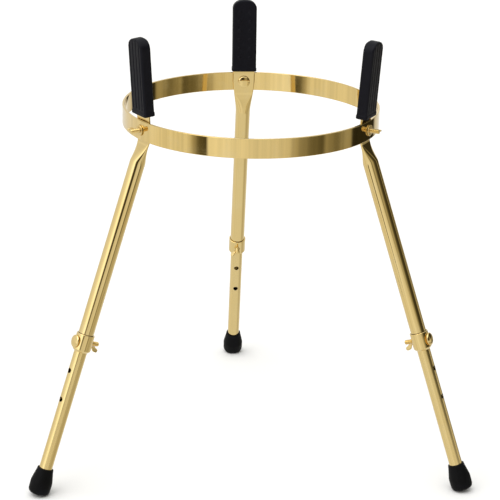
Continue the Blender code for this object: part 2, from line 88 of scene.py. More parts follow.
PIP_FIRST_HEIGHT = 19.0 * MM
PIP_SPACING = 12.4 * MM
PIP_FROM_MIDDLE = 7.2 * MM
PIP_PROUD = 0.6 * MM
CLEARANCE = 0.3 * MM
HOLE_DIAMETER = 6.8 * MM
HOLE_PITCH = 39.2 * MM
HOLES_BELOW_BOLT = 2
HOLES_ABOVE_BOLT = 4
COLLAR_FLANGE = 3.0 * MM
COLLAR_SHOULDER_HEIGHT = 2.4 * MM
COLLAR_SHOULDER_INSET = 2.3 * MM
COLLAR_SHOULDER_ROUND = 1.6 * MM
SLIDING_TUBE_DIAMETER = 17.0 * MM
SLIDING_TUBE_BORE = 14.6 * MM
SLIDING_TUBE_EDGE = 0.3 * MM
BOLT_DIAMETER = 6.0 * MM
BOLT_HEAD_DIAMETER = 16.5 * MM
BOLT_HEAD_HEIGHT = 3.4 * MM
BOLT_HEAD_RIM = 0.8 * MM
BOLT_HEAD_EDGE = 0.25 * MM
BOLT_END_CHAMFER = 0.7 * MM
RING_BOLT_THREAD = 15.0 * MM
HEIGHT_BOLT_THREAD = 17.0 * MM
BOLT_NECK_WIDTH = 6.0 * MM
THREAD_PITCH = 1.0 * MM
THREAD_DEPTH = 0.45 * MM
NUT_BASE_DIAMETER = 10.0 * MM
NUT_TOP_DIAMETER = 8.4 * MM
NUT_HUB_HEIGHT = 7.6 * MM
NUT_FOOT_HEIGHT = 1.8 * MM
NUT_FUSED_GRAIN = 0.3 * MM
WING_THICKNESS = 2.3 * MM
BOOT_RIM_DIAMETER = 20.8 * MM
BOOT_NECK_HEIGHT = 4.0 * MM
BOOT_NECK_FLARE = 0.6 * MM
BOOT_SHOULDER_INSET = 0.3 * MM
BOOT_SHOULDER_ROUND = 16.0 * MM
BOOT_BASE_INSET = 0.6 * MM
BOOT_SHOULDER_AT = 16.675 * MM
BOOT_EDGE_ROUND = 6.6 * MM
BOOT_FLOOR = 5.0 * MM

# ---- Shape numbers without a unit ----
# How strongly the ends of the pressed stretch ease in and out, and how far at most the faces of the
# partly pressed tube bulge from a stadium towards an oval.
PRESSING_EASE = 0.35
PRESSED_BULGE = 0.8
# The grip's grooves, in spacings from its middle, and its pips; a dish is a share of a pip's height.
GROOVE_PLACES = (-1.5, -0.5, 0.5, 1.5)
PIPS_IN_COLUMN = 6
PIP_DISH = 0.35
# The square neck's corners are cut off at this many times its half width.
BOLT_NECK_CORNER = 1.32
# How fast the wear grows with how sharply the surface turns.
WEAR_PER_TURN = 4

# ---- Fineness of the meshes ----
HOOP_SEGMENTS = 360
ROUND_SEGMENTS = 96
TUBE_SEGMENTS = 64
TUBE_ROWS = 120
LEG_ROW_SPACING = 3.0 * MM
LEG_SECTION_STEPS = 32
GRIP_LONG_STEPS = 60
GRIP_SHORT_STEPS = 16
GRIP_SIDE_ROWS = 150
GRIP_CROWN_ROWS = 28
GRIP_FOOT_LEVELS = (0.0, 0.15, 0.35, 0.6, 0.9)
BOLT_SEGMENTS = 48
BOLT_HEAD_ROWS = 12
THREAD_ROWS_PER_TURN = 8

# ---- Colours, linear ----
HOOP_GOLD = (0.80, 0.60, 0.245, 1.0)
DEEP_HOOP_GOLD = (0.78, 0.57, 0.21, 1.0)
TUBE_GOLD = (0.81, 0.625, 0.275, 1.0)
DEEP_TUBE_GOLD = (0.79, 0.595, 0.245, 1.0)
FASTENER_GOLD = (0.83, 0.635, 0.28, 1.0)
DEEP_FASTENER_GOLD = (0.79, 0.585, 0.225, 1.0)
SMUDGED_GOLD = (0.76, 0.68, 0.46, 1.0)
WORN_GOLD = (0.86, 0.76, 0.50, 1.0)
# Painted shade: the colour of the dark line on the upper tube just above the collar, standing in for
# the shadow in the gap between tube and collar.
SEAM_PAINTED_SHADE = (0.09, 0.055, 0.02, 1.0)
GRIP_BLACK = (0.0036, 0.0037, 0.0072, 1.0)
BOOT_BLACK = (0.0024, 0.0024, 0.0027, 1.0)
RUBBER_BLOOM = (0.009, 0.0092, 0.014, 1.0)
SCUFFED_RUBBER = (0.03, 0.029, 0.03, 1.0)
RUBBER_SHEEN = (0.75, 0.8, 1.0, 1.0)
FLOOR_PALE = (0.90, 0.90, 0.90, 1.0)
FLOOR_PALER = (0.93, 0.93, 0.925, 1.0)

# ---- Camera: distance and angles about the hoop's axis ----
CAMERA_DISTANCE = 2.5
CAMERA_AZIMUTH = math.radians(3.89)
CAMERA_ELEVATION = math.radians(19.53)
CAMERA_ROLL = math.radians(1.12)
CAMERA_AIM_HEIGHT = 276.5 * MM
CAMERA_AIM_RIGHT = 2.2 * MM
CAMERA_LENS = 135.7


# ---- Reading the frame ----
def joint(name):
    return next(entry for entry in frame["joints"] if entry["name"] == name)


def place_from(origin, x_hint, z_axis):
    """A matrix at origin whose Z is z_axis and whose X is x_hint made square to it."""
    z = Vector(z_axis).normalized()
    x = Vector(x_hint)
    x = (x - z * x.dot(z)).normalized()
    return Matrix.Translation(origin) @ Matrix((x, z.cross(x), z)).transposed().to_4x4()


def local_points(node, place):
    inverse = place.inverted()
    return [inverse @ vertex.co for vertex in frame["nodes"][node].data.vertices]


def local_box(node, place):
    """A CAD node's lowest and highest corners in the axes of place."""
    points = local_points(node, place)
    low = Vector([min(point[axis] for point in points) for axis in range(3)])
    high = Vector([max(point[axis] for point in points) for axis in range(3)])
    return low, high


def pivot_place(side):
    """On the hoop bolt's axis in the middle of the strap: X outward, Z straight up."""
    swivel = joint(side + "_leg_swivel")
    return place_from(swivel["pos_m"], swivel["axis"], (0, 0, 1))


def leg_place(side):
    """On the tubes' centreline at the floor: Z up the leg, X outward."""
    low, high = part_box(side + "_lower_tube")
    middle = (low + high) / 2
    up = -Vector(joint(side + "_height_slide")["axis"])
    foot = middle - up * (middle.z / up.z)
    return place_from(foot, joint(side + "_leg_swivel")["axis"], up)


def nut_place(node, turn_joint):
    """A wing nut's seat: Z along its bolt, away from the seat, and X along its wings."""
    turn = joint(turn_joint)
    rough = place_from(turn["pos_m"], (0.3, 0.2, 0.9), turn["axis"])
    tip = max(local_points(node, rough), key=lambda point: point.x**2 + point.y**2)
    wings = rough.to_3x3() @ Vector((tip.x, tip.y, 0))
    return place_from(turn["pos_m"], wings, turn["axis"])


# ---- Outlines ----
def smooth(value, start, end):
    """0 before start and 1 after end, with an even curve between."""
    share = min(max((value - start) / (end - start), 0.0), 1.0)
    return share * share * (3 - 2 * share)


def filleted(corners, closed=False, steps=5):
    """Corner points (x, y, radius) as an outline with round corners."""
    points = []
    last = len(corners) - 1
    for index, (x, y, radius) in enumerate(corners):
        here = Vector((x, y))
        if radius == 0 or (not closed and index in (0, last)):
            points.append(here)
            continue
        before = Vector(corners[index - 1][:2]) - here
        after = Vector(corners[(index + 1) % len(corners)][:2]) - here
        reach = radius / math.tan(before.angle(after) / 2)
        start = here + before.normalized() * reach
        end = here + after.normalized() * reach
        for step in range(steps + 1):
            share = step / steps
            points.append(start.lerp(here, share).lerp(here.lerp(end, share), share))
    return points


def circle_row(radius, height, count):
    angles = [math.tau * index / count for index in range(count)]
    return [(radius * math.cos(angle), radius * math.sin(angle), height) for angle in angles]


def stadium(width, thickness, steps):
    """(across, through) points of a flattened tube's section, a circle where the two are equal."""
    offset = (width - thickness) / 2
    points = []
    for shift, start in ((offset, -90), (-offset, 90)):
        for step in range(steps + 1):
            angle = math.radians(start + 180 * step / steps)
            points.append((shift + thickness / 2 * math.cos(angle), thickness / 2 * math.sin(angle)))
    return points


def rounded_rectangle(width, depth, corner, long_steps, short_steps, corner_steps=5):
    """(across, through) points with the same count at any size, from the depth's +Y side round."""
    corner = min(corner, width / 2, depth / 2)
    half_x = width / 2 - corner
    half_y = depth / 2 - corner
    points = []
    sides = (
        (half_x, half_y, 0, long_steps, (-2 * half_x, 0)),
        (-half_x, half_y, 90, short_steps, (0, -2 * half_y)),
        (-half_x, -half_y, 180, long_steps, (2 * half_x, 0)),
        (half_x, -half_y, 270, short_steps, (0, 2 * half_y)),
    )
    for centre_x, centre_y, start, steps, run in sides:
        for step in range(corner_steps):
            angle = math.radians(start + 90 * step / corner_steps)
            points.append((centre_x + corner * math.cos(angle), centre_y + corner * math.sin(angle)))
        turned = math.radians(start + 90)
        from_x = centre_x + corner * math.cos(turned)
        from_y = centre_y + corner * math.sin(turned)
        for step in range(steps):
            share = step / steps
            points.append((from_x + run[0] * share, from_y + run[1] * share))
    return points


# ---- Making meshes ----
def new_piece(name, bm, place):
    bmesh.ops.remove_doubles(bm, verts=bm.verts, dist=0.001 * MM)
    bmesh.ops.recalc_face_normals(bm, faces=bm.faces)
    mesh = bpy.data.meshes.new(name)
    bm.to_mesh(mesh)
    bm.free()
    piece = bpy.data.objects.new(name, mesh)
    bpy.context.scene.collection.objects.link(piece)
    piece.matrix_world = place
    return piece


def loft(name, rows, place, closed=False):
    """A surface through rows of points, each a loop of the same count; open ends get a cap."""
    bm = bmesh.new()
    loops = [[bm.verts.new(point) for point in row] for row in rows]
    pairs = list(zip(loops, loops[1:]))
    if closed:
        pairs.append((loops[-1], loops[0]))
    else:
        bm.faces.new(loops[0])
        bm.faces.new(loops[-1])
    for lower, upper in pairs:
        for index in range(len(lower)):
            after = (index + 1) % len(lower)
            bm.faces.new((lower[index], lower[after], upper[after], upper[index]))
    return new_piece(name, bm, place)


def turned(name, profile, segments, place, closed=False):
    rows = [circle_row(radius, height, segments) for radius, height in profile]
    return loft(name, rows, place, closed)


def cylinder(bm, matrix, diameter, length, segments=24):
    bmesh.ops.create_cone(
        bm,
        cap_ends=True,
        segments=segments,
        radius1=diameter / 2,
        radius2=diameter / 2,
        depth=length,
        matrix=matrix,
    )


def apply_modifiers(piece):
    bpy.context.view_layer.update()
    evaluated = piece.evaluated_get(bpy.context.evaluated_depsgraph_get())
    mesh = bpy.data.meshes.new_from_object(evaluated)
    piece.modifiers.clear()
    piece.data = mesh


def combine(piece, bm, operation):
    """Joins or cuts piece with the closed shapes in bm, which lie in the piece's own frame."""
    other = new_piece(piece.name + "_tool", bm, piece.matrix_world)
    boolean = piece.modifiers.new("combine", "BOOLEAN")
    boolean.operation = operation
    boolean.solver = "EXACT"
    boolean.object = other
    apply_modifiers(piece)
    bpy.data.objects.remove(other, do_unlink=True)


def mark_edges(piece, spread_steps=2):
    """Stores how sharply the surface turns at each vertex, 0 to 1, for the wear in the materials."""
    bm = bmesh.new()
    bm.from_mesh(piece.data)
    bm.normal_update()
    sharp = []
    for vertex in bm.verts:
        turns = [vertex.normal.dot(face.normal) for face in vertex.link_faces]
        sharp.append(min(1.0, (1 - min(turns, default=1.0)) * WEAR_PER_TURN))
    for _ in range(spread_steps):
        spread = list(sharp)
        for vertex in bm.verts:
            near = [sharp[edge.other_vert(vertex).index] for edge in vertex.link_edges]
            if near:
                spread[vertex.index] = 0.5 * sharp[vertex.index] + 0.5 * sum(near) / len(near)
        sharp = spread
    bm.free()
    attribute = piece.data.attributes.new("edge_wear", "FLOAT", "POINT")
    attribute.data.foreach_set("value", sharp)


def settle(piece, grain_place):
    """Moves a piece's place into its mesh; "made_at" keeps each point in grain_place's axes."""
    from_piece = grain_place.inverted() @ piece.matrix_world
    made_at = [value for vertex in piece.data.vertices for value in from_piece @ vertex.co]
    attribute = piece.data.attributes.new("made_at", "FLOAT_VECTOR", "POINT")
    attribute.data.foreach_set("vector", made_at)
    piece.data.transform(piece.matrix_world)
    piece.matrix_world = Matrix.Identity(4)


def finish_piece(piece, node, body, material, sharp_angle=40, grain_place=None):
    """Shading, wear, material, and what the piece stands for and rides on."""
    mark_edges(piece)
    settle(piece, grain_place or piece.matrix_world.copy())
    piece.data.materials.clear()
    piece.data.materials.append(material)
    piece.data.shade_smooth()
    piece.data.set_sharp_from_angle(angle=math.radians(sharp_angle))
    normals = piece.modifiers.new("face_weighted_normals", "WEIGHTED_NORMAL")
    normals.keep_sharp = True
    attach(piece, body)
    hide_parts(node)


# ---- Shader building blocks ----
class Nodes:
    """Small helper that adds nodes to a tree and links them by socket."""

    def __init__(self, tree):
        self.tree = tree

    def add(self, kind, settings=None, **inputs):
        node = self.tree.nodes.new("ShaderNode" + kind)
        for name, value in (settings or {}).items():
            setattr(node, name, value)
        for name, value in inputs.items():
            self.feed(node.inputs[name.replace("_", " ")], value)
        return node

    def feed(self, socket, value):
        if isinstance(value, bpy.types.NodeSocket):
            self.tree.links.new(value, socket)
        else:
            socket.default_value = value

    def math(self, operation, first, second=0.0):
        node = self.tree.nodes.new("ShaderNodeMath")
        node.operation = operation
        self.feed(node.inputs[0], first)
        self.feed(node.inputs[1], second)
        return node.outputs[0]

    def scaled(self, vector, scale):
        node = self.tree.nodes.new("ShaderNodeVectorMath")
        node.operation = "MULTIPLY"
        self.feed(node.inputs[0], vector)
        node.inputs[1].default_value = scale
        return node.outputs[0]

    def noise(self, vector, scale, detail=3.0, roughness=0.5):
        node = self.add("TexNoise", Vector=vector, Scale=scale, Detail=detail, Roughness=roughness)
        return node.outputs["Fac"]

    def spread(self, value, low, high, new_low, new_high):
        node = self.tree.nodes.new("ShaderNodeMapRange")
        node.interpolation_type = "SMOOTHSTEP"
        for index, item in enumerate((value, low, high, new_low, new_high)):
            self.feed(node.inputs[index], item)
        return node.outputs[0]

    def mix(self, factor, first, second, blend="MIX"):
        node = self.tree.nodes.new("ShaderNodeMix")
        node.data_type = "RGBA"
        node.blend_type = blend
        self.feed(node.inputs["Factor"], factor)
        self.feed(node.inputs[6], first)
        self.feed(node.inputs[7], second)
        return node.outputs[2]

    def bump(self, height, distance, strength, normal=None):
        node = self.add("Bump", Height=height, Distance=distance, Strength=strength)
        if normal is not None:
            self.feed(node.inputs["Normal"], normal)
        return node.outputs["Normal"]


def new_material(name):
    material = bpy.data.materials.new(name)
    material.use_nodes = True
    shader = material.node_tree.nodes["Principled BSDF"]
    return material, Nodes(material.node_tree), shader


def around_axis(nodes, coordinates, radius):
    """Coordinates unrolled from a round piece: along the surface, up, and out from the axis."""
    parts = nodes.add("SeparateXYZ", Vector=coordinates).outputs
    angle = nodes.math("ARCTAN2", parts["Y"], parts["X"])
    flat = nodes.add("CombineXYZ", X=parts["X"], Y=parts["Y"], Z=0.0).outputs[0]
    reach = nodes.add("VectorMath", {"operation": "LENGTH"}, Vector=flat).outputs["Value"]
    run = nodes.math("MULTIPLY", angle, radius)
    return nodes.add("CombineXYZ", X=run, Y=parts["Z"], Z=reach).outputs[0]


def broken_wear(nodes, place):
    """Where the plate's edges are rubbed, 0 to 0.5, broken up by a noise."""
    wear = nodes.add("Attribute", {"attribute_name": "edge_wear"}).outputs["Fac"]
    broken = nodes.spread(nodes.noise(place, 240.0, 4.0), 0.42, 0.62, 0.25, 1.0)
    return nodes.math("MULTIPLY", nodes.spread(wear, 0.3, 0.95, 0.0, 0.5), broken)


def plate_colour(nodes, place, colours, smudge, worn, seam):
    """The two golds mingled, hazed by smudges and paler where worn, with painted shade along the seam.
    """
    tone = nodes.noise(place, 9.0, 2.0)
    plain = nodes.mix(nodes.spread(tone, 0.35, 0.65, 0.0, 1.0), *colours)
    hazed = nodes.mix(nodes.spread(smudge, 0.5, 0.72, 0.0, 0.12), plain, SMUDGED_GOLD)
    finish = nodes.mix(worn, hazed, WORN_GOLD)
    if seam is None:
        return finish
    # Painted shade: a thin dark line at the seam's height, standing in for the shadow where the tube
    # meets the collar.
    height = nodes.add("SeparateXYZ", Vector=place).outputs["Z"]
    away = nodes.math("ABSOLUTE", nodes.math("SUBTRACT", height, seam))
    return nodes.mix(nodes.spread(away, 0.35 * MM, 1.0 * MM, 0.85, 0.0), finish, SEAM_PAINTED_SHADE)


def gold_plate(name, colours, roughness, grain_scale, hoop_radius=None, seam=None):
    """Polished gold plate under clear lacquer: faint grain, smudges, wear, and painted shade along a
    seam.
    """
    material, nodes, shader = new_material(name)
    place = nodes.add("Attribute", {"attribute_name": "made_at"}).outputs["Vector"]
    if hoop_radius:
        place = around_axis(nodes, place, hoop_radius)
    grain = nodes.noise(nodes.scaled(place, grain_scale), 1.0, 4.0, 0.6)
    smudge = nodes.noise(place, 38.0, 5.0, 0.62)
    worn = broken_wear(nodes, place)
    nodes.feed(shader.inputs["Base Color"], plate_colour(nodes, place, colours, smudge, worn, seam))

    rough = nodes.spread(smudge, 0.42, 0.75, roughness, roughness + 0.05)
    rough = nodes.math("ADD", rough, nodes.spread(grain, 0.35, 0.7, 0.0, 0.02))
    rough = nodes.math("ADD", rough, nodes.math("MULTIPLY", worn, 0.16))
    nodes.feed(shader.inputs["Roughness"], rough)
    shader.inputs["Metallic"].default_value = 1.0
    shader.inputs["Coat Weight"].default_value = 0.5
    shader.inputs["Coat Roughness"].default_value = 0.04

    ripple = nodes.bump(nodes.noise(place, 30.0, 1.0), 0.2 * MM, 0.25)
    drawn = nodes.bump(grain, 0.002 * MM, 0.5, ripple)
    specks = nodes.noise(place, 950.0, 2.0)
    nodes.feed(shader.inputs["Normal"], nodes.bump(specks, 0.001 * MM, 0.4, drawn))
    return material


def black_rubber(name, colour, gloss, shine):
    """Moulded rubber: a pebbled skin, faint bloom, and paler scuffed edges."""
    material, nodes, shader = new_material(name)
    place = nodes.add("Attribute", {"attribute_name": "made_at"}).outputs["Vector"]
    pebble = nodes.noise(place, 1400.0, 3.0, 0.55)
    bloom = nodes.noise(place, 60.0, 5.0, 0.65)
    scuff = nodes.noise(nodes.scaled(place, (90.0, 90.0, 420.0)), 1.0, 4.0, 0.6)

    wear = nodes.add("Attribute", {"attribute_name": "edge_wear"}).outputs["Fac"]
    rubbed = nodes.math("MULTIPLY", nodes.spread(wear, 0.15, 0.8, 0.0, 0.6), scuff)
    bloomed = nodes.mix(nodes.spread(bloom, 0.45, 0.75, 0.0, 0.45), colour, RUBBER_BLOOM)
    nodes.feed(shader.inputs["Base Color"], nodes.mix(rubbed, bloomed, SCUFFED_RUBBER))

    rough = nodes.spread(bloom, 0.35, 0.7, gloss, gloss + 0.14)
    rough = nodes.math("ADD", rough, nodes.spread(pebble, 0.3, 0.7, -0.04, 0.06))
    nodes.feed(shader.inputs["Roughness"], rough)
    shader.inputs["Specular IOR Level"].default_value = shine
    shader.inputs["Sheen Weight"].default_value = 0.015
    shader.inputs["Sheen Roughness"].default_value = 0.4
    shader.inputs["Sheen Tint"].default_value = RUBBER_SHEEN

    skin = nodes.bump(pebble, 0.05 * MM, 0.5)
    nodes.feed(shader.inputs["Normal"], nodes.bump(scuff, 0.06 * MM, 0.25, skin))
    return material


def make_materials():
    """Every finish by name. A grain's scale is high across its lines and low along them."""
    low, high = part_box("ring_hoop")
    radius = (high.x - low.x) / 2
    collar_top = local_box("rear_collar", leg_place("rear"))[1].z
    hoop = (HOOP_GOLD, DEEP_HOOP_GOLD)
    tube = (TUBE_GOLD, DEEP_TUBE_GOLD)
    fastener = (FASTENER_GOLD, DEEP_FASTENER_GOLD)
    rolled = (14.0, 900.0, 900.0)
    drawn = (1100.0, 1100.0, 9.0)
    machined = (300.0, 300.0, 900.0)
    plated = (500.0, 500.0, 500.0)
    pressed = (700.0, 700.0, 700.0)
    return {
        "hoop": gold_plate("gold_hoop_finish", hoop, 0.025, rolled, hoop_radius=radius),
        # seam=collar_top paints a thin dark shadow line on the tube just above the collar.
        "upper_tube": gold_plate("gold_upper_tube_finish", tube, 0.03, drawn, seam=collar_top),
        "collar": gold_plate("gold_collar_finish", tube, 0.04, machined),
        "sliding_tube": gold_plate("gold_sliding_tube_finish", tube, 0.13, drawn),
        "fastener": gold_plate("gold_fastener_finish", fastener, 0.05, plated),
        "washer": gold_plate("gold_washer_finish", tube, 0.36, pressed),
        "grip": black_rubber("grip_rubber_finish", GRIP_BLACK, 0.4, 0.13),
        "boot": black_rubber("boot_rubber_finish", BOOT_BLACK, 0.5, 0.1),
    }


# ---- Hoop ----
def build_hoop():
    low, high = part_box("ring_hoop")
    place = Matrix.Translation(((low.x + high.x) / 2, (low.y + high.y) / 2, 0))
    outer = (high.x - low.x) / 2
    inner = outer - HOOP_THICKNESS
    corners = [(inner, high.z), (outer, high.z), (outer, low.z), (inner, low.z)]
    profile = filleted([(*corner, HOOP_EDGE_ROUND) for corner in corners], closed=True, steps=4)
    hoop = turned("hoop", profile, HOOP_SEGMENTS, place, closed=True)
    holes = bmesh.new()
    for side in SIDES:
        swivel = joint(side + "_leg_swivel")
        across = place_from(swivel["pos_m"], (0, 0, 1), swivel["axis"])
        cylinder(holes, place.inverted() @ across, HOLE_DIAMETER, 8 * HOOP_THICKNESS)
    combine(hoop, holes, "DIFFERENCE")
    finish_piece(hoop, "ring_hoop", "ring", materials["hoop"])


# ---- Upper leg ----
def eased(start, end, amount):
    """From start to end as amount goes from 0 to 1, softly at both ends."""
    amount = min(max(amount, 0.0), 1.0)
    soft = amount + PRESSING_EASE * (amount * amount * (3 - 2 * amount) - amount)
    return start + (end - start) * soft


def flattened_size(pressed):
    """Width and thickness of the tube, this far above where it starts to be pressed flat."""
    spread = pressed / (FLATTENED_BELOW_BEND + SPREAD_ABOVE_BEND)
    thinned = pressed / (FLATTENED_BELOW_BEND - THINNED_BELOW_BEND)
    width = eased(TUBE_DIAMETER, STRAP_WIDTH, spread)
    return width, eased(TUBE_DIAMETER, STRAP_THICKNESS, thinned)


def pressed_section(width, thickness, steps):
    """A stadium whose faces bulge towards an oval while the tube is only partly pressed."""
    flatness = (TUBE_DIAMETER - thickness) / (TUBE_DIAMETER - STRAP_THICKNESS)
    bulge = PRESSED_BULGE * (1 - flatness**2)
    points = []
    for across, through in stadium(width, thickness, steps):
        reach = math.sqrt(max(1 - (2 * through / thickness) ** 2, 0.0))
        oval = math.copysign(width / 2 * reach, across)
        points.append((across + (oval - across) * bulge, through))
    return points


def tube_mouth(side, leg):
    """Height along the leg of the upper tube's lower end, which stands on the collar's flange."""
    return local_box(side + "_collar", leg)[0].z + COLLAR_FLANGE + CLEARANCE


def upper_leg_path(side, pivot, leg):
    """The centreline as (outward, up) points about the pivot, from the collar to the strap's tip."""
    to_pivot = pivot.inverted() @ leg
    start = to_pivot @ Vector((0, 0, tube_mouth(side, leg)))
    upward = to_pivot.to_3x3() @ Vector((0, 0, 1))
    bend = start.z - upward.z * start.x / upward.x
    hoop_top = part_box("ring_hoop")[1].z - pivot.translation.z
    tip = STRAP_TIP_ABOVE_HOOP
    corners = [
        (start.x, start.z, 0),
        (0.0, bend, STRAP_BEND_RADIUS),
        (0.0, hoop_top, STRAP_LEAN_RADIUS),
        (tip * math.sin(GRIP_LEAN), hoop_top + tip * math.cos(GRIP_LEAN), 0),
    ]
    return filleted(corners, steps=10), bend


def resampled(path, spacing):
    """The same path with points no further apart than spacing."""
    points = [path[0]]
    for first, second in zip(path, path[1:]):
        steps = max(1, math.ceil((second - first).length / spacing))
        points += [first.lerp(second, step / steps) for step in range(1, steps + 1)]
    return points


def pressed_rows(path, bend):
    """Sections square to the path, from the round tube to the flat strap."""
    points = resampled(path, LEG_ROW_SPACING)
    lean = (path[1] - path[0]).normalized()
    rows = []
    for index, point in enumerate(points):
        along = points[min(index + 1, len(points) - 1)] - points[max(index - 1, 0)]
        along.normalize()
        above_bend = point.y - bend
        pressed = FLATTENED_BELOW_BEND + above_bend / (lean.y if above_bend < 0 else 1.0)
        row = []
        for across, through in pressed_section(*flattened_size(pressed), LEG_SECTION_STEPS):
            row.append((point.x + through * along.y, across, point.y - through * along.x))
        rows.append(row)
    return rows


def bore_rows(side, leg, to_pivot):
    """The bore's closed end, then its mouth, with as many points as the outside has."""
    lower_tube_top = local_box(side + "_lower_tube", leg)[1].z
    end = lower_tube_top + HOLES_BELOW_BOLT * HOLE_PITCH + CLEARANCE
    circle = stadium(TUBE_BORE, TUBE_BORE, LEG_SECTION_STEPS)
    rows = []
    for height in (end, tube_mouth(side, leg)):
        rows.append([to_pivot @ Vector((y, x, height)) for x, y in circle])
    return rows


def build_upper_leg(side, pivot, leg):
    """One skin: down the bore to the tube's mouth, then up the outside to the strap's tip."""
    path, bend = upper_leg_path(side, pivot, leg)
    to_pivot = pivot.inverted() @ leg
    tube = loft(side + "_leg_tube", bore_rows(side, leg, to_pivot) + pressed_rows(path, bend), pivot)

    holes = bmesh.new()
    across = cross_place(bolt_height_on(side, leg))
    cylinder(holes, to_pivot @ across, HOLE_DIAMETER, 2 * TUBE_DIAMETER)
    size = BOLT_NECK_WIDTH + 2 * CLEARANCE
    bmesh.ops.create_cube(holes, size=size, matrix=Matrix.Identity(4))
    combine(tube, holes, "DIFFERENCE")
    material = materials["upper_tube"]
    finish_piece(tube, side + "_upper_leg", side + "_leg", material, grain_place=leg)


# ---- Collar, sliding tube and boot, all about the leg's centreline ----
def cross_place(height, outward=0.0):
    """On the leg's centreline, or outward of it, at this height, with Z pointing outward."""
    return Matrix.Translation((outward, 0, height)) @ Matrix.Rotation(math.pi / 2, 4, "Y")


def through_holes(heights, reach):
    bm = bmesh.new()
    for height in heights:
        cylinder(bm, cross_place(height), HOLE_DIAMETER, reach)
    return bm


def bolt_height_on(side, leg):
    return (leg.inverted() @ Vector(joint(side + "_height_nut_turn")["pos_m"])).z


def build_collar(side, leg):
    low, high = local_box(side + "_collar", leg)
    radius = (high.y - low.y) / 2
    sleeve = TUBE_DIAMETER / 2 + CLEARANCE
    flange = SLIDING_TUBE_DIAMETER / 2 + CLEARANCE
    step = low.z + COLLAR_FLANGE
    corners = [
        (sleeve, high.z, 0.2 * MM),
        (radius, high.z, 0.7 * MM),
        (radius, low.z + COLLAR_SHOULDER_HEIGHT, COLLAR_SHOULDER_ROUND),
        (radius - COLLAR_SHOULDER_INSET, low.z, 0.5 * MM),
        (flange, low.z, 0.3 * MM),
        (flange, step, 0),
        (sleeve, step, 0),
    ]
    profile = filleted(corners, closed=True, steps=4)
    collar = turned(side + "_height_collar", profile, ROUND_SEGMENTS, leg, closed=True)
    combine(collar, through_holes([bolt_height_on(side, leg)], 3 * radius), "DIFFERENCE")
    finish_piece(collar, side + "_collar", side + "_leg", materials["collar"])


def build_sliding_tube(side, leg):
    low, high = local_box(side + "_lower_tube", leg)
    outer = (high.y - low.y) / 2
    inner = SLIDING_TUBE_BORE / 2
    edge = SLIDING_TUBE_EDGE
    profile = [(inner, high.z), (outer - edge, high.z)]
    for row in range(TUBE_ROWS + 1):
        profile.append((outer, high.z - edge - (high.z - low.z - 2 * edge) * row / TUBE_ROWS))
    profile += [(outer - edge, low.z), (inner, low.z)]
    tube = turned(side + "_sliding_tube", profile, TUBE_SEGMENTS, leg, closed=True)
    bolt = bolt_height_on(side, leg)
    numbers = range(-HOLES_BELOW_BOLT, HOLES_ABOVE_BOLT + 1)
    heights = [bolt + number * HOLE_PITCH for number in numbers]
    combine(tube, through_holes(heights, 4 * outer), "DIFFERENCE")
    finish_piece(tube, side + "_lower_tube", side + "_extension", materials["sliding_tube"])


def build_boot(side, leg):
    """A cup over the tube's end, pressed flat where it stands on the floor."""
    low, high = local_box(side + "_foot", leg)
    tube_low = local_box(side + "_lower_tube", leg)[0].z
    bottom = tube_low - CLEARANCE - BOOT_FLOOR
    widest = (high.y - low.y) / 2
    cup = SLIDING_TUBE_DIAMETER / 2 + CLEARANCE
    rim = BOOT_RIM_DIAMETER / 2
    corners = [
        (0.0, bottom + BOOT_FLOOR, 0),
        (cup, bottom + BOOT_FLOOR, 0.4 * MM),
        (cup, high.z, 0.35 * MM),
        (rim, high.z, 0.8 * MM),
        (rim + BOOT_NECK_FLARE, high.z - BOOT_NECK_HEIGHT, 6 * MM),
        (widest - BOOT_SHOULDER_INSET, bottom + BOOT_SHOULDER_AT, BOOT_SHOULDER_ROUND),
        (widest - BOOT_BASE_INSET, bottom, BOOT_EDGE_ROUND),
        (0.0, bottom, 0),
    ]
    profile = filleted(corners, steps=7)
    boot = turned(side + "_rubber_boot", profile, ROUND_SEGMENTS, leg)
    to_leg = leg.inverted()
    for vertex in boot.data.vertices:
        point = leg @ vertex.co
        if point.z < 0:
            vertex.co = to_leg @ Vector((point.x, point.y, 0))
    finish_piece(boot, side + "_foot", side + "_extension", materials["boot"], 55)


# ---- Rubber grip ----
def grip_groove(across, height):
    """Depth of the four lengthwise grooves on the outer face."""
    depth = 0.0
    for place in GROOVE_PLACES:
        offset = abs(across - place * GROOVE_SPACING)
        depth = max(depth, 1 - smooth(offset, 0.35 * MM, 1.1 * MM))
    start = smooth(height, GROOVE_FROM, GROOVE_FROM + 2 * MM)
    ends = start * (1 - smooth(height, GRIP_LENGTH - 3 * MM, GRIP_LENGTH))
    return GROOVE_DEPTH * depth * ends


def grip_pip(across, height):
    """Height of the two columns of six round, dished pips on the inner face."""
    number = min(max(round((height - PIP_FIRST_HEIGHT) / PIP_SPACING), 0), PIPS_IN_COLUMN - 1)
    above = height - PIP_FIRST_HEIGHT - number * PIP_SPACING
    away = math.hypot(abs(across) - PIP_FROM_MIDDLE, above)
    disc = 1 - smooth(away, 1.7 * MM, 2.5 * MM)
    dish = PIP_DISH * (1 - smooth(away, 0.3 * MM, 1.5 * MM))
    return PIP_PROUD * (disc - dish)


